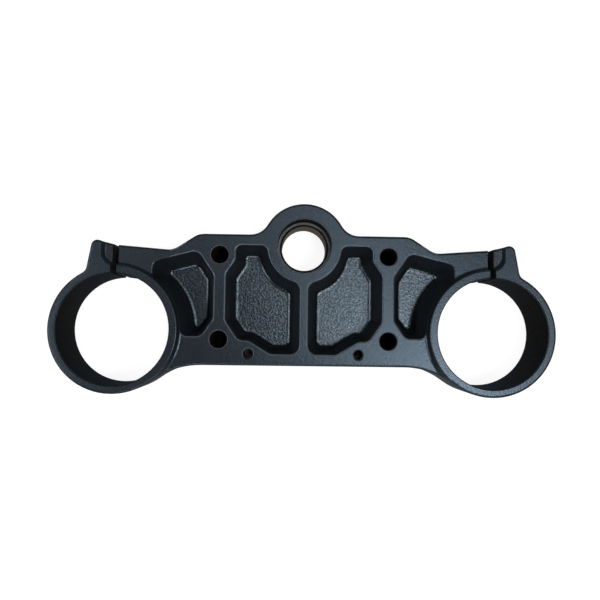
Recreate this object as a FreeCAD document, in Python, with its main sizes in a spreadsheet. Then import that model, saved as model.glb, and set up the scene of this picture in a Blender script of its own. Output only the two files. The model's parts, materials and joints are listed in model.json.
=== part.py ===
import FreeCAD, Part
import math
import os
import Sketcher

# Upper triple clamp, lying on its flat top side with the ribbed underside up.
# The steering-stem axis is the origin, +X runs across the forks and +Y points to the rider.

DIMENSIONS = {
    # Fork clamps
    "fork_pitch": 184,
    "fork_offset": 42,
    "fork_bore": 54,
    "ring_wall": 4,
    "ring_lip": 0.2,
    "ring_height": 28,
    "ring_step": 3.5,
    "bore_chamfer": 0.5,
    # Bridge plan
    "bridge_front": 58.9,
    "bridge_rear": 5.4,
    "shoulder_inner": 52,
    "shoulder_outer": 64.5,
    "arm_rear": 0.7,
    "shoulder_rear": 2.8,
    "shoulder_radius": 9,
    "flare_radius": 40,
    "boss_radius": 21,
    "boss_blend": 10,
    # Slit and ear
    "slit_width": 2.5,
    "ear_end": 7.3,
    "ear_tip": 10.7,
    "ear_foot": 18.5,
    "ear_corner": 3,
    "ear_blend": 4,
    "ear_step": 6,
    "step_corner": 6,
    "step_fillet": 1.6,
    "edge_round": 1.2,
    # Stem bore
    "stem_bore": 22.6,
    "stem_recess": 26.8,
    "recess_depth": 10,
    "stem_chamfer": 0.4,
    # Riser and accessory holes
    "riser_bore": 8.6,
    "riser_pitch_across": 83,
    "riser_pitch_along": 41.5,
    "riser_rear": 4.8,
    "tapped_core": 5,
    "tapped_pitch": 53.8,
    "tapped_offset": 53.1,
    "tapped_depth": 14,
    "hole_chamfer": 0.5,
    # Pinch bolts
    "pinch_clear": 8.5,
    "pinch_core": 6.8,
    "pinch_depth": 15,
    "pinch_gap": 5.5,
    "pinch_seat": 14,
    "pinch_seat_reach": 10,
    # Lightening pockets
    "pocket_floor": 7.5,
    "pocket_draft": 8.5,
    "rib_draft": 13,
    "stem_draft": 11.5,
    "arm_draft": 12,
    "pocket_corner": 4.5,
    "pocket_floor_round": 3,
    "pocket_rim_round": 0.8,
    "rib_centre": 4,
    "rib_side_inner": 38.4,
    "rib_side_outer": 44.2,
    "wall_front": 5.7,
    "wall_rear": 5.3,
    "wall_stem": 4.9,
    "wall_riser": 3.5,
    "wall_tapped": 3.9,
    "pocket_slant": 56,
    "pocket_tight_corner": 3.2,
    "shelf_ramp": 10.9,
    "arm_pocket_inner": 2.8,
    "arm_pocket_outer": 8.6,
    "arm_pocket_reach": 18,
    "arm_pocket_front": 3,
}

doc = FreeCAD.newDocument("upper_triple_clamp")
dim = doc.addObject("Spreadsheet::Sheet", "dim")
for row, (alias, value) in enumerate(DIMENSIONS.items(), start=1):
    dim.set(f"A{row}", alias)
    dim.set(f"B{row}", str(value))
    dim.setAlias(f"B{row}", alias)
doc.recompute()

# Places that several features share, as expressions of the sheet
FACE_HEIGHT = "(dim.ring_height - dim.ring_step)"
POCKET_DEPTH = f"({FACE_HEIGHT} - dim.pocket_floor)"
FORK_X = "dim.fork_pitch / 2"
FORK_Y = "-dim.fork_offset"
RING_RADIUS = "(dim.fork_bore / 2 + dim.ring_wall)"
RAISED_RADIUS = f"({RING_RADIUS} + dim.ring_lip)"
PINCH_REACH = f"({RING_RADIUS} + dim.pinch_gap)"
EAR_TOP = f"({PINCH_REACH} + dim.ear_end)"
RISER_X = "dim.riser_pitch_across / 2"
RISER_REAR_Y = "-dim.riser_rear"
RISER_FRONT_Y = "(-dim.riser_rear - dim.riser_pitch_along)"
TAPPED_X = "dim.tapped_pitch / 2"
TAPPED_Y = "-dim.tapped_offset"

# Distance in mm under which two places count as the same
SAME_PLACE = 1e-3


def value_of(expression):
    """Number that an expression of the sheet stands for."""
    return float(dim.evalExpression(expression))


def origin_plane(body, role):
    """One of the body's own base planes, by role."""
    return next(item for item in body.Origin.OriginFeatures if item.Role == role)


def new_body(name):
    return doc.addObject("PartDesign::Body", name)


def new_sketch(body, name, role="XY_Plane"):
    sketch = body.newObject("Sketcher::SketchObject", name)
    sketch.AttachmentSupport = (origin_plane(body, role), [""])
    sketch.MapMode = "FlatFace"
    return sketch


def pin(sketch, line, end, across, along):
    """Tie one end of a sketch line to two expressions of the sheet."""
    for kind, expression in (("DistanceX", across), ("DistanceY", along)):
        start = value_of(expression)
        index = sketch.addConstraint(Sketcher.Constraint(kind, -1, 1, line, end, start))
        sketch.setExpression(f"Constraints[{index}]", expression)


def polygon(sketch, corners, mirrored=False):
    """Closed outline through corners; mirrored adds the same corners across the sketch's upright axis."""
    points = [FreeCAD.Vector(value_of(across), value_of(along), 0) for across, along in corners]
    if mirrored:
        points += [FreeCAD.Vector(-point.x, point.y, 0) for point in reversed(points)]
    count = len(points)
    lines = []
    for index, point in enumerate(points):
        lines.append(sketch.addGeometry(Part.LineSegment(point, points[(index + 1) % count])))
    for index, line in enumerate(lines):
        following = lines[(index + 1) % count]
        sketch.addConstraint(Sketcher.Constraint("Coincident", line, 2, following, 1))
    for index, (across, along) in enumerate(corners):
        pin(sketch, lines[index], 1, across, along)
        if mirrored:
            twin = lines[count - 1 - index]
            sketch.addConstraint(Sketcher.Constraint("Symmetric", lines[index], 1, twin, 1, -2))


def circle(sketch, across, along, radius):
    """Circle whose centre and radius are expressions of the sheet."""
    centre = FreeCAD.Vector(value_of(across), value_of(along), 0)
    ring = sketch.addGeometry(Part.Circle(centre, FreeCAD.Vector(0, 0, 1), value_of(radius)))
    pin(sketch, ring, 3, across, along)
    index = sketch.addConstraint(Sketcher.Constraint("Radius", ring, value_of(radius)))
    sketch.setExpression(f"Constraints[{index}]", radius)


def pad(body, name, sketch, length):
    feature = body.newObject("PartDesign::Pad", name)
    feature.Profile = sketch
    feature.setExpression("Length", length)
    doc.recompute()
    return feature


def edges_through(shape, places):
    """Names of the edges that pass through places, each given as three expressions."""
    names = []
    for place in places:
        vertex = Part.Vertex(*[value_of(expression) for expression in place])
        gaps = [edge.distToShape(vertex)[0] for edge in shape.Edges]
        names.append(f"Edge{gaps.index(min(gaps)) + 1}")
    return names


def walls_of(shape):
    """Faces of a plug that aren't level."""
    return [face for face in shape.Faces if face.BoundBox.ZLength > SAME_PLACE]


def face_names(shape, faces):
    return [f"Face{index}" for index, face in enumerate(shape.Faces, start=1)
            if any(face.isSame(other) for other in faces)]


def edges_at_height(shape, height):
    """Names of the edges that lie in one level plane."""
    names = []
    for index, edge in enumerate(shape.Edges, start=1):
        box = edge.BoundBox
        if abs(box.ZMin - height) < SAME_PLACE and abs(box.ZMax - height) < SAME_PLACE:
            names.append(f"Edge{index}")
    return names


def inner_edges_at_height(shape, height):
    """Names of the edges that bound the islands of a level face."""
    names = []
    for face in shape.Faces:
        box = face.BoundBox
        if abs(box.ZMin - height) > SAME_PLACE or abs(box.ZMax - height) > SAME_PLACE:
            continue
        for wire in face.Wires:
            if wire.isSame(face.OuterWire):
                continue
            for index, edge in enumerate(shape.Edges, start=1):
                if any(edge.isSame(part) for part in wire.Edges):
                    names.append(f"Edge{index}")
    return names


def round_edges(shape, radius, heights):
    """Names of the full circles of one radius at some heights."""
    length = 2 * math.pi * value_of(radius)
    levels_wanted = [value_of(height) for height in heights]
    names = []
    for index, edge in enumerate(shape.Edges, start=1):
        at_level = any(abs(edge.BoundBox.ZMin - level) < SAME_PLACE for level in levels_wanted)
        if at_level and edge.isClosed() and abs(edge.Length - length) < SAME_PLACE:
            names.append(f"Edge{index}")
    return names


def rim_edges(shape, tool, lowest):
    """Names of the edges that a tool left on or above one height."""
    skin = Part.Compound(tool.Faces)
    names = []
    for index, edge in enumerate(shape.Edges, start=1):
        if edge.BoundBox.ZMin < lowest - SAME_PLACE:
            continue
        middle = edge.valueAt((edge.FirstParameter + edge.LastParameter) / 2)
        if skin.distToShape(Part.Vertex(middle))[0] < SAME_PLACE:
            names.append(f"Edge{index}")
    return names


def outline_edges(shape):
    """Names of the edges along the top and the bottom of the outer walls, which stand on the rest plane."""
    rims = []
    for face in shape.Faces:
        box = face.BoundBox
        if abs(box.ZMin) < SAME_PLACE and box.ZLength > SAME_PLACE:
            rims += [edge for edge in face.Edges if edge.BoundBox.ZLength < box.ZLength / 2]
    names = []
    for index, edge in enumerate(shape.Edges, start=1):
        if any(edge.isSame(rim) for rim in rims):
            names.append(f"Edge{index}")
    return names


def fillet(body, name, base, edges, radius):
    feature = body.newObject("PartDesign::Fillet", name)
    feature.Base = (base, edges)
    feature.setExpression("Radius", radius)
    doc.recompute()
    return feature


def chamfer(body, name, base, edges, size):
    feature = body.newObject("PartDesign::Chamfer", name)
    feature.Base = (base, edges)
    feature.setExpression("Size", size)
    doc.recompute()
    return feature


def both_sides(place):
    """A place and its mirror image across the middle of the clamp."""
    across, along, height = place
    return [(across, along, height), (f"-({across})", along, height)]


# Plan of the casting: bridge, arms and ears as one outline, with the rings and the stem boss as rounds
plan = new_body("plan")
plan_outline = new_sketch(plan, "plan_outline")
EAR_TOP_Y = f"{FORK_Y} + {EAR_TOP}"
polygon(plan_outline, [
    (FORK_X, "-dim.bridge_front"),
    (f"{FORK_X} + dim.ear_foot", FORK_Y),
    (f"{FORK_X} + dim.ear_tip", EAR_TOP_Y),
    (FORK_X, "-dim.arm_rear"),
    ("dim.shoulder_outer", "-dim.shoulder_rear"),
    ("dim.shoulder_inner", "dim.bridge_rear"),
], mirrored=True)
pad(plan, "plan_plate", plan_outline, "dim.ring_height")
plan_rounds = new_sketch(plan, "plan_rounds")
circle(plan_rounds, FORK_X, FORK_Y, RING_RADIUS)
circle(plan_rounds, f"-{FORK_X}", FORK_Y, RING_RADIUS)
circle(plan_rounds, "0", "0", "dim.boss_radius")
feature = pad(plan, "plan_columns", plan_rounds, "dim.ring_height")

MIDDLE = "dim.ring_height / 2"
FLARE_X = f"{FORK_X} - sqrt({RING_RADIUS}^2 - (dim.bridge_front - dim.fork_offset)^2)"
BOSS_X = "sqrt(dim.boss_radius^2 - dim.bridge_rear^2)"
# The ear's side leaves the ring at this share of its way from the foot to the tip
EAR_LEAN = "(dim.ear_foot - dim.ear_tip)"
EAR_SIDE_SQUARED = f"({EAR_LEAN}^2 + {EAR_TOP}^2)"
EAR_FOOT_DEPTH = f"({RING_RADIUS}^2 - dim.ear_foot^2)"
EAR_SHARE = (f"((dim.ear_foot * {EAR_LEAN} + sqrt((dim.ear_foot * {EAR_LEAN})^2"
             f" + {EAR_SIDE_SQUARED} * {EAR_FOOT_DEPTH})) / {EAR_SIDE_SQUARED})")
EAR_LEAVES = (f"{FORK_X} + dim.ear_foot - {EAR_LEAN} * {EAR_SHARE}",
              f"{FORK_Y} + {EAR_TOP} * {EAR_SHARE}")
plan_corners = {
    "flare": ("dim.flare_radius", [(FLARE_X, "-dim.bridge_front")]),
    "boss_blend": ("dim.boss_blend", [(BOSS_X, "dim.bridge_rear")]),
    "shoulder": ("dim.shoulder_radius", [("dim.shoulder_outer", "-dim.shoulder_rear"),
                                         ("dim.shoulder_inner", "dim.bridge_rear")]),
    "ear_blend": ("dim.ear_blend", [EAR_LEAVES]),
    "ear_corner": ("dim.ear_corner", [(f"{FORK_X} + dim.ear_tip", EAR_TOP_Y)]),
}
for name, (radius, corners) in plan_corners.items():
    places = [place for across, along in corners for place in both_sides((across, along, MIDDLE))]
    feature = fillet(plan, name, feature, edges_through(feature.Shape, places), radius)

# Levels: the low face of the bridge with the rings and the ears standing above it. A raised ring is a touch
# wider than the ring below, so its step runs out against the flare at a clear angle.
levels = new_body("levels")
SPAN_X = f"({FORK_X} + 2 * {RING_RADIUS})"
SPAN_FRONT = f"({FORK_Y} - 2 * {RING_RADIUS})"
SPAN_REAR = "2 * dim.boss_radius"
low_face = new_sketch(levels, "low_face")
polygon(low_face, [(SPAN_X, SPAN_FRONT), (SPAN_X, SPAN_REAR)], mirrored=True)
pad(levels, "low_level", low_face, FACE_HEIGHT)
high_face = new_sketch(levels, "high_face")
for side in ("", "-"):
    circle(high_face, f"{side}{FORK_X}", FORK_Y, RAISED_RADIUS)
pad(levels, "high_rings", high_face, "dim.ring_height")
high_ears = new_sketch(levels, "high_ears")
STEP_X = f"{FORK_X} + dim.ear_step"
PAST_EAR_X = f"{FORK_X} + dim.fork_bore"
for side in ("", "-"):
    polygon(high_ears, [
        (f"{side}({STEP_X})", FORK_Y),
        (f"{side}({PAST_EAR_X})", FORK_Y),
        (f"{side}({PAST_EAR_X})", "dim.boss_radius"),
        (f"{side}({STEP_X})", "dim.boss_radius"),
    ])
feature = pad(levels, "high_ear_blocks", high_ears, "dim.ring_height")
STEP_Y = f"{FORK_Y} + sqrt({RAISED_RADIUS}^2 - dim.ear_step^2)"
STEP_Z = f"({FACE_HEIGHT} + dim.ring_height) / 2"
places = both_sides((STEP_X, STEP_Y, STEP_Z))
feature = fillet(levels, "step_corner", feature, edges_through(feature.Shape, places), "dim.step_corner")
edges = inner_edges_at_height(feature.Shape, value_of(FACE_HEIGHT))
feature = fillet(levels, "step_fillet", feature, edges, "dim.step_fillet")

casting = doc.addObject("Part::Common", "casting")
casting.Base = plan
casting.Tool = levels
casting.Refine = True
doc.recompute()

# Outer edges of the casting, rounded all round
rounded = new_body("rounded")
rounded.BaseFeature = casting
doc.recompute()
edges = outline_edges(rounded.Tip.Shape)
fillet(rounded, "edge_round", rounded.Tip, edges, "dim.edge_round")

# Cores of the lightening pockets, drafted towards their floors, with the bridge face as their base plane
STEM_WALL = "(dim.stem_recess / 2 + dim.wall_stem)"
RISER_WALL = "(dim.riser_bore / 2 + dim.wall_riser)"
TAPPED_WALL = "(dim.tapped_core / 2 + dim.wall_tapped)"
POCKET_FRONT = "(dim.wall_front - dim.bridge_front)"
POCKET_REAR = "(dim.bridge_rear - dim.wall_rear)"
SHELF_Y = f"({TAPPED_Y} + {TAPPED_WALL})"
SHELF_RAMP_X = f"{TAPPED_X} - dim.shelf_ramp"
RIB_X = "dim.rib_centre / 2"


def past_riser(given, wanted):
    """Slanted wall at a set distance past a riser hole: how far it lies along or across, from the other."""
    turns = {"along": ("sin", "cos"), "across": ("cos", "sin")}
    own, other = turns[wanted]
    return f"(({RISER_WALL} - ({given}) * {own}(dim.pocket_slant)) / {other}(dim.pocket_slant))"


def lean(body, name, base, faces, angle):
    """Draft some walls of a plug inwards, from its sketch plane down."""
    draft = body.newObject("PartDesign::Draft", name)
    draft.Base = (base, face_names(base.Shape, faces))
    draft.NeutralPlane = (origin_plane(body, "XY_Plane"), [""])
    draft.Reversed = True
    draft.setExpression("Angle", angle)
    doc.recompute()
    return draft


def pocket_core(name, corners, wrap_radius, wrap_draft, wall_draft, rounds, steep=None):
    """Drafted plug for one pocket, cut back from the round wall on the body's own Z axis.

    steep gives one flat wall a draft of its own: the angle, and a place on the wall.
    """
    body = new_body(name)
    outline = new_sketch(body, f"{name}_outline")
    polygon(outline, corners)
    plug = body.newObject("PartDesign::Pad", f"{name}_plug")
    plug.Profile = outline
    plug.SideType = "Two sides"
    plug.setExpression("Length", "dim.ring_step")
    plug.setExpression("Length2", POCKET_DEPTH)
    doc.recompute()
    feature = plug
    if steep:
        steep_draft, place = steep
        vertex = Part.Vertex(*[value_of(expression) for expression in place], 0)
        steep_wall = min(walls_of(plug.Shape), key=lambda wall: wall.distToShape(vertex)[0])
        feature = lean(body, f"{name}_steep_wall", plug, [steep_wall], steep_draft)
    walls = walls_of(feature.Shape)
    if steep:
        walls.remove(min(walls, key=lambda wall: wall.distToShape(vertex)[0]))
    lean(body, f"{name}_walls", feature, walls, wall_draft)
    wrap = new_sketch(body, f"{name}_wrap", "XZ_Plane")
    top, bottom = "2 * dim.ring_step", f"-2 * {POCKET_DEPTH}"
    polygon(wrap, [
        ("0", bottom),
        (f"{wrap_radius} - ({bottom}) * tan({wrap_draft})", bottom),
        (f"{wrap_radius} - ({top}) * tan({wrap_draft})", top),
        ("0", top),
    ])
    feature = body.newObject("PartDesign::Groove", f"{name}_round_wall")
    feature.Profile = wrap
    feature.ReferenceAxis = (wrap, ["V_Axis"])
    feature.Angle = 360
    doc.recompute()
    for label, (radius, places) in rounds.items():
        edges = edges_through(feature.Shape, [(across, along, "0") for across, along in places])
        feature = fillet(body, f"{name}_{label}", feature, edges, radius)
    edges = edges_at_height(feature.Shape, value_of(f"-{POCKET_DEPTH}"))
    fillet(body, f"{name}_floor", feature, edges, "dim.pocket_floor_round")
    body.setExpression("Placement.Base.z", FACE_HEIGHT)
    return body


RIB_GAP = f"({RISER_X} - dim.rib_side_inner)"
SHELF_END_X = f"{RISER_X} - {past_riser(f'{SHELF_Y} - {RISER_FRONT_Y}', 'across')}"
RIB_FRONT_Y = f"{RISER_FRONT_Y} + {past_riser(RIB_GAP, 'along')}"
RIB_REAR_Y = f"{RISER_REAR_Y} - {past_riser(RIB_GAP, 'along')}"
RISER_SIDE_X = f"{RISER_X} - {RISER_WALL}"
RISER_SIDE_Y = f"{RISER_REAR_Y} - {past_riser(RISER_WALL, 'along')}"
large_core = pocket_core("large_core", [
    (RIB_X, POCKET_FRONT),
    (SHELF_RAMP_X, POCKET_FRONT),
    (TAPPED_X, SHELF_Y),
    (SHELF_END_X, SHELF_Y),
    ("dim.rib_side_inner", RIB_FRONT_Y),
    ("dim.rib_side_inner", RIB_REAR_Y),
    (RISER_SIDE_X, RISER_SIDE_Y),
    (RISER_SIDE_X, POCKET_REAR),
    (RIB_X, POCKET_REAR),
], STEM_WALL, "dim.stem_draft", "dim.pocket_draft", {
    "corner": ("dim.pocket_corner", [
        (RIB_X, POCKET_FRONT),
        (SHELF_RAMP_X, POCKET_FRONT),
        (TAPPED_X, SHELF_Y),
        (SHELF_END_X, SHELF_Y),
        ("dim.rib_side_inner", RIB_FRONT_Y),
        ("dim.rib_side_inner", RIB_REAR_Y),
        (RIB_X, f"-sqrt({STEM_WALL}^2 - ({RIB_X})^2)"),
    ]),
    "tight_corner": ("dim.pocket_tight_corner", [
        (RISER_SIDE_X, RISER_SIDE_Y),
        (RISER_SIDE_X, POCKET_REAR),
        (f"sqrt({STEM_WALL}^2 - {POCKET_REAR}^2)", POCKET_REAR),
    ]),
}, ("dim.rib_draft", (RIB_X, SHELF_Y)))

# The arm pocket wraps the fork ring, so its core is drawn from the fork axis
OUTER_GAP = f"(dim.rib_side_outer - {RISER_X})"
ARM_RIB_X = f"dim.rib_side_outer - {FORK_X}"
ARM_RIB_FRONT_Y = f"{RISER_FRONT_Y} + {past_riser(OUTER_GAP, 'along')} - {FORK_Y}"
ARM_RIB_REAR_Y = f"{RISER_REAR_Y} - {past_riser(OUTER_GAP, 'along')} - {FORK_Y}"
ARM_FRONT_Y = "-dim.arm_pocket_front"
ARM_FRONT_X = (f"{RISER_X} - {FORK_X} + "
               + past_riser(f"{FORK_Y} - dim.arm_pocket_front - {RISER_FRONT_Y}", "across"))
ARM_REAR_Y = f"-dim.arm_pocket_inner - {FORK_Y}"
ARM_REAR_X = f"{RISER_X} - {FORK_X} + " + past_riser(f"{RISER_REAR_Y} + dim.arm_pocket_inner", "across")
ARM_END_X = "-dim.arm_pocket_reach"
ARM_END_Y = f"-dim.arm_pocket_outer - {FORK_Y}"
RING_WRAP = f"({RAISED_RADIUS} + dim.ring_step * tan(dim.arm_draft))"
small_core = pocket_core("small_core", [
    (ARM_RIB_X, ARM_RIB_FRONT_Y),
    (ARM_FRONT_X, ARM_FRONT_Y),
    (ARM_END_X, ARM_FRONT_Y),
    (ARM_END_X, ARM_END_Y),
    (ARM_REAR_X, ARM_REAR_Y),
    (ARM_RIB_X, ARM_RIB_REAR_Y),
], RING_WRAP, "dim.arm_draft", "dim.arm_draft", {
    "corner": ("dim.pocket_corner", [
        (ARM_RIB_X, ARM_RIB_FRONT_Y),
        (ARM_FRONT_X, ARM_FRONT_Y),
        (ARM_END_X, ARM_END_Y),
        (ARM_REAR_X, ARM_REAR_Y),
        (ARM_RIB_X, ARM_RIB_REAR_Y),
    ]),
    "tight_corner": ("dim.pocket_tight_corner", [
        (f"-sqrt({RING_WRAP}^2 - dim.arm_pocket_front^2)", ARM_FRONT_Y),
        (ARM_END_X, f"sqrt({RING_WRAP}^2 - dim.arm_pocket_reach^2)"),
    ]),
})
small_core.setExpression("Placement.Base.x", FORK_X)
small_core.setExpression("Placement.Base.y", FORK_Y)
doc.recompute()

cores = [large_core, small_core]
for core in (large_core, small_core):
    twin = doc.addObject("Part::Mirroring", f"{core.Name}_left")
    twin.Source = core
    twin.Normal = FreeCAD.Vector(1, 0, 0)
    cores.append(twin)
pockets = doc.addObject("Part::MultiFuse", "pockets")
pockets.Shapes = cores
pocketed = doc.addObject("Part::Cut", "pocketed")
pocketed.Base = rounded
pocketed.Tool = pockets
doc.recompute()

# The finished clamp: pocket rims eased, then the bores, holes and slits machined
clamp = new_body("upper_triple_clamp")
clamp.BaseFeature = pocketed
doc.recompute()
edges = rim_edges(clamp.Tip.Shape, pockets.Shape, value_of(FACE_HEIGHT))
fillet(clamp, "pocket_rim", clamp.Tip, edges, "dim.pocket_rim_round")


def cut(name, sketch, length=None, forward=False):
    """Cut with the outline of a sketch, right through unless it has a length."""
    feature = clamp.newObject("PartDesign::Pocket", name)
    feature.Profile = sketch
    feature.Reversed = forward
    if length is None:
        feature.Type = "ThroughAll"
    else:
        feature.setExpression("Length", length)
    doc.recompute()
    return feature


def bore(name, circles, height="0", length=None):
    """Upright round cuts: up from the rest plane, or down from a height over a length."""
    sketch = new_sketch(clamp, f"{name}_circles")
    sketch.setExpression("AttachmentOffset.Base.z", height)
    for across, along, radius in circles:
        circle(sketch, across, along, radius)
    return cut(name, sketch, length, forward=length is None)


RISERS = [(f"{side}{RISER_X}", along) for side in ("", "-") for along in (RISER_REAR_Y, RISER_FRONT_Y)]
FORK_RADIUS = "dim.fork_bore / 2"
RISER_RADIUS = "dim.riser_bore / 2"
TAPPED_RADIUS = "dim.tapped_core / 2"
STEM_RADIUS = "dim.stem_bore / 2"
RECESS_RADIUS = "dim.stem_recess / 2"
bore("fork_bores", [(f"{side}{FORK_X}", FORK_Y, FORK_RADIUS) for side in ("", "-")])
bore("riser_holes", [(across, along, RISER_RADIUS) for across, along in RISERS])
bore("stem_hole", [("0", "0", STEM_RADIUS)])
bore("stem_recess_cut", [("0", "0", RECESS_RADIUS)], FACE_HEIGHT, "dim.recess_depth")
feature = bore("tapped_holes", [(f"{side}{TAPPED_X}", TAPPED_Y, TAPPED_RADIUS) for side in ("", "-")],
               FACE_HEIGHT, "dim.tapped_depth")
RECESS_FLOOR = f"{FACE_HEIGHT} - dim.recess_depth"
for name, size, rims in (
    ("fork_bore_edge", "dim.bore_chamfer", [(FORK_RADIUS, ["0", "dim.ring_height"])]),
    ("stem_edge", "dim.stem_chamfer", [(STEM_RADIUS, ["0", RECESS_FLOOR]),
                                       (RECESS_RADIUS, [FACE_HEIGHT])]),
    ("hole_edge", "dim.hole_chamfer", [(RISER_RADIUS, ["0", FACE_HEIGHT]),
                                       (TAPPED_RADIUS, [FACE_HEIGHT])]),
):
    edges = [edge for radius, heights in rims for edge in round_edges(feature.Shape, radius, heights)]
    feature = chamfer(clamp, name, feature, edges, size)

# Pinch slits towards the rider, and the bolt holes across them
slits = new_sketch(clamp, "slit_outlines")
for side in ("", "-"):
    polygon(slits, [
        (f"{side}{FORK_X} - dim.slit_width / 2", FORK_Y),
        (f"{side}{FORK_X} + dim.slit_width / 2", FORK_Y),
        (f"{side}{FORK_X} + dim.slit_width / 2", f"{EAR_TOP_Y} + dim.ear_corner"),
        (f"{side}{FORK_X} - dim.slit_width / 2", f"{EAR_TOP_Y} + dim.ear_corner"),
    ])
feature = cut("slits", slits, forward=True)


def pinch_cut(name, start, radius, length=None):
    """Round cut across the right-hand slit: outwards from start, or inwards over a length."""
    sketch = new_sketch(clamp, f"{name}_circle", "YZ_Plane")
    sketch.setExpression("AttachmentOffset.Base.z", start)
    circle(sketch, f"{FORK_Y} + {PINCH_REACH}", MIDDLE, radius)
    return cut(name, sketch, length, forward=length is None)


pinch_cuts = [
    pinch_cut("pinch_clearance", FORK_X, "dim.pinch_clear / 2"),
    pinch_cut("pinch_seat_face", f"{FORK_X} + dim.pinch_seat_reach", "dim.pinch_seat / 2"),
    pinch_cut("pinch_thread", FORK_X, "dim.pinch_core / 2", "dim.slit_width / 2 + dim.pinch_depth"),
]
left_pinch = clamp.newObject("PartDesign::Mirrored", "left_pinch")
left_pinch.Originals = pinch_cuts
left_pinch.MirrorPlane = (origin_plane(clamp, "YZ_Plane"), [""])
clamp.Tip = left_pinch
doc.recompute()

# Nothing is written unless every object came out sound
for item in doc.Objects:
    if "Invalid" in item.State or "Error" in item.State:
        raise RuntimeError(f"{item.Label} did not build: {item.State}")
if clamp.Shape.isNull() or not clamp.Shape.isValid() or len(clamp.Shape.Solids) != 1:
    raise RuntimeError("the clamp is not one sound solid")
os.makedirs("parts", exist_ok=True)
clamp.Shape.exportStep(f"parts/{clamp.Label}.step")
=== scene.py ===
import json
import math
import bpy
from mathutils import Matrix

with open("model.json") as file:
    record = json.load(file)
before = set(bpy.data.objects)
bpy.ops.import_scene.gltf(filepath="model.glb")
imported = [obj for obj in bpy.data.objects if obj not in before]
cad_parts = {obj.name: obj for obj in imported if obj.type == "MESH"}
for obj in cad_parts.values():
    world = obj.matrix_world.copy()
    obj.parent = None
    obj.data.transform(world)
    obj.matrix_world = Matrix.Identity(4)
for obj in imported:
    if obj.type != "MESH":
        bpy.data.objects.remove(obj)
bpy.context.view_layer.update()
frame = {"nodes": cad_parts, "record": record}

# Clamp casting: one aluminium casting that holds both fork legs and the steering stem, lying on its top
# side. Its skin keeps the grain of the mould under satin black paint, coarser on the pocket floors. The
# seats of the legs and of the stem are bored after painting, and the small holes are tapped.
clamp = frame["nodes"]["upper_triple_clamp"]
mounts = {mount["name"]: mount for mount in frame["record"]["mounts"]}
MM = 0.001

PAINT = (0.006, 0.007, 0.009, 1)
PAINT_THIN = (0.009, 0.010, 0.012, 1)
POCKET_PAINT = (0.018, 0.023, 0.028, 1)
POCKET_PAINT_THIN = (0.040, 0.051, 0.061, 1)
# Painted highlight: a lighter colour along the edges of the pocket floors
POCKET_EDGE_HIGHLIGHT = (0.038, 0.048, 0.056, 1)
# Painted highlight: a much lighter colour on the rounded rims of the pockets
RIM_HIGHLIGHT = (0.062, 0.073, 0.083, 1)
# Painted shade with a painted brown reflection: near-black brown on the walls of the bores, slits and riser
# holes
BORED_WALL_SHADE = (0.018, 0.012, 0.006, 1)
# Bare metal with a painted brown reflection: khaki tint of the stem bore's wall
STEM_METAL_AND_REFLECTION = (0.17, 0.14, 0.085, 1)
# Painted highlight: a light bluish colour on the lip of the stem recess's ledge
STEM_LIP_HIGHLIGHT = (0.11, 0.125, 0.14, 1)
THREAD_METAL = (0.05, 0.05, 0.05, 1)
# Painted cool light: a blue tint on every reflection off the paint, in place of a bluish lamp
PAINTED_COOL_LIGHT_TINT = (0.58, 0.79, 1.0, 1)
PAINT_GLOSS = 0.40
PAINT_ROUGHNESS = 0.27
POCKET_ROUGHNESS = 0.22
WALL_ROUGHNESS = 0.60
SIDE_ROUGHNESS = 0.95
BORED_ROUGHNESS = 1.0
BARE_ROUGHNESS = 0.55

CLOUD_SIZE = 14 * MM
CLOUD_DETAIL = 3
CLOUD_RANGE = (0.3, 0.7)
FACE_GRAIN = 1.0 * MM
FACE_GRAIN_DETAIL = 2
FACE_GRAIN_HEIGHT = 0.08 * MM
POCKET_GRAIN = 1.1 * MM
POCKET_GRAIN_DETAIL = 3
POCKET_GRAIN_FINENESS = 0.6
POCKET_GRAIN_HEIGHT = 0.16 * MM
POCKET_SPECKLE_RANGE = (0.35, 0.65)
BORED_GRAIN = 0.6 * MM
BORED_GRAIN_DETAIL = 1
BORED_GRAIN_HEIGHT = 0.4 * MM

# How far the surface faces up where each finish and painted highlight starts and is full: 1 on a level face,
# 0 on an upright wall
FLOOR_SLOPE = (0.2, 0.95)
FLOOR_EDGE_SLOPE = (0.5, 0.9)
FLOOR_EDGE_END = (0.999, 0.96)
RIM_SLOPE = (0.30, 0.60)
RIM_END = (0.985, 0.95)
WALL_SLOPE = (0.8, 0.2)
LIP_SLOPE = (0.3, 0.5)

# Where the pockets lie: heights over the floor, and the reach of their rims and walls
POCKET_FLOOR_HEIGHT = (13 * MM, 9.5 * MM)
RIM_LEVEL = 23 * MM
RIM_TOP = 24.7 * MM
RIM_SPAN = 66 * MM
RIM_FRONT = -55 * MM
RIM_REAR = 1 * MM
WALL_SPAN = (79 * MM, 73 * MM)

SLIT_WIDTH = 2.5 * MM
SEAT_EDGE = 0.25 * MM
STEM_LIP_START = 0.8 * MM
THREAD_PITCH = 1.0 * MM
THREAD_DEPTH = 0.6


def place(tree, kind, inputs=(), **settings):
    """New node with its settings; inputs gives its sockets numbers or the outputs of other nodes."""
    node = tree.nodes.new(kind)
    for name, value in settings.items():
        setattr(node, name, value)
    for socket, value in dict(inputs).items():
        if isinstance(value, bpy.types.NodeSocket):
            tree.links.new(value, node.inputs[socket])
        else:
            node.inputs[socket].default_value = value
    return node


def reckon(tree, operation, first, second=0.0):
    return place(tree, "ShaderNodeMath", {0: first, 1: second}, operation=operation).outputs[0]


def reckon_vector(tree, operation, first, second=(0, 0, 0)):
    return place(tree, "ShaderNodeVectorMath", {0: first, 1: second}, operation=operation).outputs


def overlap(tree, first, *others):
    """Mask of what lies in every one of the masks given."""
    for other in others:
        first = reckon(tree, "MULTIPLY", first, other)
    return first


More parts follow.
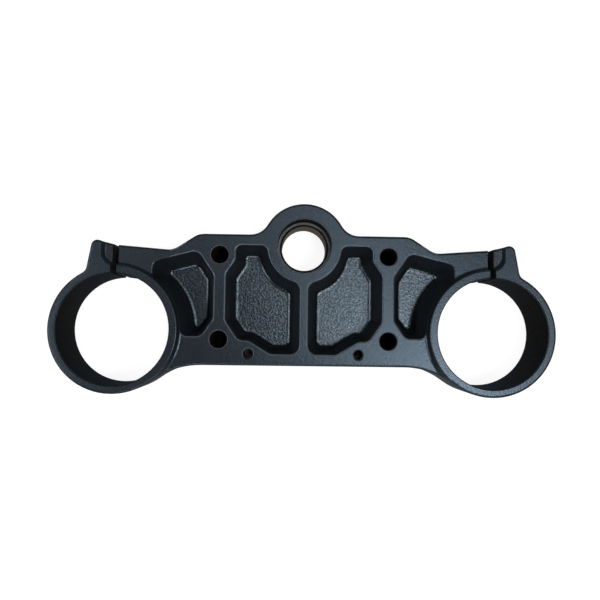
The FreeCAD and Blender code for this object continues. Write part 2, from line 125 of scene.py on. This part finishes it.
def union(tree, first, *others):
    """Mask of what lies in any of the masks given."""
    for other in others:
        first = reckon(tree, "MAXIMUM", first, other)
    return first


def ramp(tree, value, start, end):
    """Smooth rise from 0 at start to 1 at end."""
    inputs = {"Value": value, "From Min": start, "From Max": end}
    return place(tree, "ShaderNodeMapRange", inputs, interpolation_type="SMOOTHSTEP").outputs["Result"]


def mix_colour(tree, share, first, second):
    inputs = {"Factor": share, 6: first, 7: second}
    return place(tree, "ShaderNodeMix", inputs, data_type="RGBA").outputs[2]


def mix_number(tree, share, first, second):
    return place(tree, "ShaderNodeMix", {"Factor": share, 2: first, 3: second}).outputs[0]


def grain(tree, position, size, detail, fineness=0.5):
    inputs = {"Vector": position, "Scale": 1 / size, "Detail": detail, "Roughness": fineness}
    return place(tree, "ShaderNodeTexNoise", inputs).outputs["Fac"]


def new_group(name, inputs, outputs):
    """Empty shader group with named sockets, each given as its name and kind."""
    group = bpy.data.node_groups.new(name, "ShaderNodeTree")
    for direction, sockets in (("INPUT", inputs), ("OUTPUT", outputs)):
        for socket, kind in sockets:
            group.interface.new_socket(socket, in_out=direction, socket_type=f"NodeSocket{kind}")
    entry = group.nodes.new("NodeGroupInput")
    leave = group.nodes.new("NodeGroupOutput")
    return group, entry.outputs, leave.inputs


def round_seat_group():
    """Mask of what lies within a radius of an upright axis."""
    group, given, result = new_group(
        "round_seat",
        [("Position", "Vector"), ("Axis", "Vector"), ("Radius", "Float")],
        [("Mask", "Float")],
    )
    offset = reckon_vector(group, "SUBTRACT", given["Position"], given["Axis"])["Vector"]
    level = reckon_vector(group, "MULTIPLY", offset, (1, 1, 0))["Vector"]
    reach = reckon_vector(group, "LENGTH", level)["Value"]
    past = reckon(group, "SUBTRACT", reach, given["Radius"])
    group.links.new(ramp(group, past, SEAT_EDGE, 0), result["Mask"])
    return group


round_seat = round_seat_group()


def seat_mask(tree, position, axis, radius):
    inputs = {"Position": position, "Axis": axis, "Radius": radius}
    return place(tree, "ShaderNodeGroup", inputs, node_tree=round_seat).outputs["Mask"]


def cut_thread_group():
    """Height of a thread cut around an upright axis, and the mask of its wall."""
    group, given, result = new_group(
        "cut_thread",
        [("Position", "Vector"), ("Axis", "Vector"), ("Radius", "Float"), ("Pitch", "Float")],
        [("Height", "Float"), ("Mask", "Float")],
    )
    offset = reckon_vector(group, "SUBTRACT", given["Position"], given["Axis"])["Vector"]
    parts = place(group, "ShaderNodeSeparateXYZ", {0: offset}).outputs
    turns = reckon(group, "DIVIDE", reckon(group, "ARCTAN2", parts["Y"], parts["X"]), 2 * math.pi)
    rise = reckon(group, "DIVIDE", parts["Z"], given["Pitch"])
    wave = reckon(group, "PINGPONG", reckon(group, "ADD", rise, turns), 0.5)
    level = reckon_vector(group, "MULTIPLY", offset, (1, 1, 0))["Vector"]
    reach = reckon_vector(group, "LENGTH", level)["Value"]
    wall = ramp(group, reckon(group, "SUBTRACT", reach, given["Radius"]), SEAT_EDGE, 0)
    depth = reckon(group, "MULTIPLY", given["Pitch"], 2 * THREAD_DEPTH)
    group.links.new(overlap(group, wave, depth, wall), result["Height"])
    group.links.new(wall, result["Mask"])
    return group


def row_of_two(mount):
    """Offsets from a mount's middle to the holes of a pair, along the clamp."""
    return [side * mount["dims"]["spacing_x_mm"] * MM for side in (-0.5, 0.5)]


risers = mounts["riser_holes"]
riser_axes = []
for x_offset in row_of_two(risers):
    for end in (-0.5, 0.5):
        y_offset = end * risers["dims"]["spacing_y_mm"] * MM
        riser_axes.append((risers["pos_m"][0] + x_offset, risers["pos_m"][1] + y_offset, 0))


def black_paint_material():
    material = bpy.data.materials.new("satin_black_paint")
    material.use_nodes = True
    tree = material.node_tree
    tree.nodes.clear()
    spot = place(tree, "ShaderNodeTexCoord").outputs
    position = spot["Object"]
    across, along, height = place(tree, "ShaderNodeSeparateXYZ", {0: position}).outputs
    sideways = reckon(tree, "ABSOLUTE", across)
    upward = place(tree, "ShaderNodeSeparateXYZ", {0: spot["Normal"]}).outputs["Z"]

    # Seats of the fork legs, the stem and the riser bolts, bored after painting, and the sawn slits, whose
    # walls get painted shade with a painted brown reflection
    seats = [(mounts[name]["pos_m"], mounts[name]["dims"]["r_mm"])
             for name in ("fork_clamp_right", "fork_clamp_left", "stem_recess")]
    seats += [(axis, risers["dims"]["hole_r_mm"]) for axis in riser_axes]
    fork_x, fork_y = mounts["fork_clamp_right"]["pos_m"][:2]
    off_slit = reckon(tree, "ABSOLUTE", reckon(tree, "SUBTRACT", sideways, fork_x))
    slit = overlap(tree, reckon(tree, "LESS_THAN", off_slit, SLIT_WIDTH / 2 + SEAT_EDGE),
                   reckon(tree, "GREATER_THAN", along, fork_y))
    bored = union(tree, slit, *(seat_mask(tree, position, axis, radius * MM) for axis, radius in seats))

    # Threads of the accessory holes
    cut_thread = cut_thread_group()
    holes = mounts["accessory_holes"]
    thread_relief = 0.0
    threaded = 0.0
    for x_offset in row_of_two(holes):
        axis = (holes["pos_m"][0] + x_offset, holes["pos_m"][1], holes["pos_m"][2])
        radius = holes["dims"]["hole_r_mm"] * MM
        inputs = {"Position": position, "Axis": axis, "Radius": radius, "Pitch": THREAD_PITCH}
        thread = place(tree, "ShaderNodeGroup", inputs, node_tree=cut_thread).outputs
        thread_relief = reckon(tree, "ADD", thread_relief, thread["Height"])
        threaded = union(tree, threaded, thread["Mask"])

    # Bare metal wall of the stem bore, with a painted brown reflection in its colour, and a painted highlight
    # on the lip of the ledge of its recess
    stem = mounts["stem_bore"]
    recess = mounts["stem_recess"]
    stem_radius = stem["dims"]["r_mm"] * MM
    stem_wall = seat_mask(tree, position, stem["pos_m"], stem_radius)
    ledge = seat_mask(tree, position, recess["pos_m"], recess["dims"]["r_mm"] * MM)
    inner_ledge = seat_mask(tree, position, stem["pos_m"], stem_radius + STEM_LIP_START)
    lip_highlight = overlap(tree, reckon(tree, "SUBTRACT", ledge, inner_ledge), ramp(tree, upward, *LIP_SLOPE))
    bare = union(tree, threaded, lip_highlight)

    # Pocket floors, where the mould's grain is coarsest, and a painted highlight along their edges
    floor = overlap(tree, ramp(tree, height, *POCKET_FLOOR_HEIGHT), ramp(tree, upward, *FLOOR_SLOPE),
                    reckon(tree, "SUBTRACT", 1, bored))
    floor_edge_highlight = overlap(tree, ramp(tree, upward, *FLOOR_EDGE_SLOPE), ramp(tree, upward, *FLOOR_EDGE_END))

    # Rims of the pockets, lit up by a painted highlight, and steep walls, duller outside the pockets than in
    # them
    between = overlap(tree, reckon(tree, "GREATER_THAN", along, RIM_FRONT),
                      reckon(tree, "LESS_THAN", along, RIM_REAR))
    rim_highlight = overlap(tree, between, ramp(tree, upward, *RIM_SLOPE), ramp(tree, upward, *RIM_END),
                  reckon(tree, "GREATER_THAN", height, RIM_LEVEL), reckon(tree, "LESS_THAN", height, RIM_TOP),
                  reckon(tree, "LESS_THAN", sideways, RIM_SPAN))
    in_pockets = overlap(tree, between, ramp(tree, sideways, *WALL_SPAN))
    steep = ramp(tree, upward, *WALL_SLOPE)

    # Relief of the surface
    pocket_grain = grain(tree, position, POCKET_GRAIN, POCKET_GRAIN_DETAIL, POCKET_GRAIN_FINENESS)
    face_grain = grain(tree, position, FACE_GRAIN, FACE_GRAIN_DETAIL)
    bored_grain = grain(tree, position, BORED_GRAIN, BORED_GRAIN_DETAIL)
    face_relief = reckon(tree, "MULTIPLY", face_grain, FACE_GRAIN_HEIGHT)
    floor_relief = reckon(tree, "MULTIPLY", pocket_grain, POCKET_GRAIN_HEIGHT)
    bored_relief = reckon(tree, "MULTIPLY", bored_grain, BORED_GRAIN_HEIGHT)
    relief = mix_number(tree, bored, mix_number(tree, floor, face_relief, floor_relief), bored_relief)
    relief = reckon(tree, "ADD", relief, thread_relief)
    bump = place(tree, "ShaderNodeBump", {"Height": relief, "Distance": 1, "Strength": 1})

    # Colour, roughness and bare metal
    cloud = ramp(tree, grain(tree, position, CLOUD_SIZE, CLOUD_DETAIL), *CLOUD_RANGE)
    speckle = ramp(tree, pocket_grain, *POCKET_SPECKLE_RANGE)
    pocket = mix_colour(tree, speckle, POCKET_PAINT, POCKET_PAINT_THIN)
    # Painted highlight along the edges of the pocket floors
    pocket = mix_colour(tree, floor_edge_highlight, pocket, POCKET_EDGE_HIGHLIGHT)
    colour = mix_colour(tree, floor, mix_colour(tree, cloud, PAINT, PAINT_THIN), pocket)
    # Painted highlight on the rims of the pockets
    colour = mix_colour(tree, rim_highlight, colour, RIM_HIGHLIGHT)
    # Painted shade with a painted brown reflection on the bored walls and slits
    colour = mix_colour(tree, bored, colour, BORED_WALL_SHADE)
    # Bare metal of the stem bore's wall, with a painted brown reflection
    colour = mix_colour(tree, stem_wall, colour, STEM_METAL_AND_REFLECTION)
    # Painted highlight on the lip of the stem recess
    colour = mix_colour(tree, lip_highlight, colour, STEM_LIP_HIGHLIGHT)
    colour = mix_colour(tree, threaded, colour, THREAD_METAL)
    wall_roughness = mix_number(tree, in_pockets, SIDE_ROUGHNESS, WALL_ROUGHNESS)
    roughness = mix_number(tree, steep, PAINT_ROUGHNESS, wall_roughness)
    roughness = mix_number(tree, floor, roughness, POCKET_ROUGHNESS)
    roughness = mix_number(tree, bored, roughness, BORED_ROUGHNESS)
    roughness = mix_number(tree, bare, roughness, BARE_ROUGHNESS)
    # The blue specular tint of the paint is painted cool light
    shader = place(tree, "ShaderNodeBsdfPrincipled", {
        "Base Color": colour, "Metallic": union(tree, bored, bare, floor), "Roughness": roughness,
        "Normal": bump.outputs["Normal"], "Specular Tint": PAINTED_COOL_LIGHT_TINT, "Specular IOR Level": PAINT_GLOSS})
    place(tree, "ShaderNodeOutputMaterial", {"Surface": shader.outputs["BSDF"]})
    return material


clamp.data.materials.clear()
clamp.data.materials.append(black_paint_material())

# Floor: a plain pale sheet of card that the clamp lies on. It shows white to the camera and in reflections,
# keeps the shadow, and is dark at the foot of the riser holes, where no light reaches it.
FLOOR_SIDE = 6.0
FLOOR_DROP = 0.05 * MM
HOLE_SHADE_RADIUS = 5 * MM
FLOOR_GLOW = 0.86
FLOOR_WHITE = (1, 1, 1, 1)
FLOOR_BLACK = (0, 0, 0, 1)
FLOOR_PAINT = (0.25, 0.25, 0.25, 1)
FLOOR_SHADE = (0.01, 0.01, 0.01, 1)
bpy.ops.mesh.primitive_plane_add(size=FLOOR_SIDE, location=(0, 0, 0))
floor_sheet = bpy.context.object
floor_sheet.name = "floor"
floor_sheet.data.transform(Matrix.Translation((0, 0, -FLOOR_DROP)))


def pale_floor_material():
    material = bpy.data.materials.new("pale_floor")
    material.use_nodes = True
    tree = material.node_tree
    tree.nodes.clear()
    position = place(tree, "ShaderNodeTexCoord").outputs["Object"]
    shade = union(tree, 0.0, *(seat_mask(tree, position, axis, HOLE_SHADE_RADIUS) for axis in riser_axes))
    rays = place(tree, "ShaderNodeLightPath").outputs
    seen = union(tree, rays["Is Camera Ray"], rays["Is Glossy Ray"], rays["Is Transmission Ray"])
    glow = place(tree, "ShaderNodeEmission", {
        "Color": mix_colour(tree, shade, FLOOR_WHITE, FLOOR_BLACK),
        "Strength": reckon(tree, "MULTIPLY", seen, FLOOR_GLOW)})
    card = place(tree, "ShaderNodeBsdfDiffuse", {"Color": mix_colour(tree, shade, FLOOR_PAINT, FLOOR_SHADE)})
    surface = place(tree, "ShaderNodeAddShader", {0: glow.outputs[0], 1: card.outputs[0]})
    place(tree, "ShaderNodeOutputMaterial", {"Surface": surface.outputs[0]})
    return material


floor_sheet.data.materials.append(pale_floor_material())

# Studio: a dim even room with soft boxes overhead, most of them over the right end of the clamp, and two
# low strips that draw light lines along the rims and floor edges of the pockets. Places are in metres and
# power in watts.
ROOM_GLOW = 0.09
ROOM_WHITE = (1, 1, 1, 1)
MIDDLE = (0, -0.03, 0.02)
RIGHT_OF_MIDDLE = (0.05, -0.03, 0.02)
RIGHT_RING = (0.16, 0.0, 0.02)
world = bpy.data.worlds.new("studio")
bpy.context.scene.world = world
world.use_nodes = True
room = world.node_tree.nodes["Background"].inputs
room["Color"].default_value = ROOM_WHITE
room["Strength"].default_value = ROOM_GLOW


def soft_box(name, place_m, target_m, width, length, power):
    """Area lamp of a width across and a length along its aim's slope, aimed at a target."""
    lamp = bpy.data.lights.new(name, "AREA")
    lamp.shape = "RECTANGLE"
    lamp.size = width
    lamp.size_y = length
    lamp.energy = power
    holder = bpy.data.objects.new(name, lamp)
    bpy.context.scene.collection.objects.link(holder)
    holder.location = place_m
    aim = holder.location.copy()
    aim.x, aim.y, aim.z = (target_m[axis] - place_m[axis] for axis in range(3))
    holder.rotation_euler = aim.to_track_quat("-Z", "Y").to_euler()


soft_box("key_soft_box", (0.35, -0.21, 1.0), RIGHT_OF_MIDDLE, width=0.12, length=0.20, power=3.4)
soft_box("overhead_panel", (0.17, 0.01, 1.0), RIGHT_RING, width=0.28, length=0.30, power=1.6)
soft_box("left_panel", (-0.52, -0.03, 1.0), MIDDLE, width=0.46, length=0.22, power=0.6)
soft_box("rear_panel", (0.0, 0.30, 1.05), MIDDLE, width=0.60, length=0.20, power=1.2)
soft_box("right_panel", (0.60, -0.03, 1.0), MIDDLE, width=0.30, length=0.20, power=1.1)
soft_box("left_strip", (-0.66, -0.05, 0.72), MIDDLE, width=0.60, length=0.14, power=3.2)
soft_box("front_strip", (0.05, -0.66, 0.72), MIDDLE, width=0.60, length=0.14, power=3.0)

# Camera: almost straight down over the middle of the clamp, close enough to look at the inner walls of both
# fork seats. Its place is in millimetres and its turn in degrees.
CAMERA_PLACE = (-8.12, -41.36, 317.41)
CAMERA_TURN = (2.867, -1.245, 0.747)
SENSOR_WIDTH = 36
LENS = 36.02
NEAR_LIMIT = 0.01
camera_data = bpy.data.cameras.new("camera")
camera_data.sensor_width = SENSOR_WIDTH
camera_data.lens = LENS
camera_data.clip_start = NEAR_LIMIT
camera = bpy.data.objects.new("camera", camera_data)
bpy.context.scene.collection.objects.link(camera)
camera.location = [value * MM for value in CAMERA_PLACE]
camera.rotation_euler = [math.radians(angle) for angle in CAMERA_TURN]
bpy.context.scene.camera = camera

bpy.context.scene.view_settings.view_transform = "Standard"
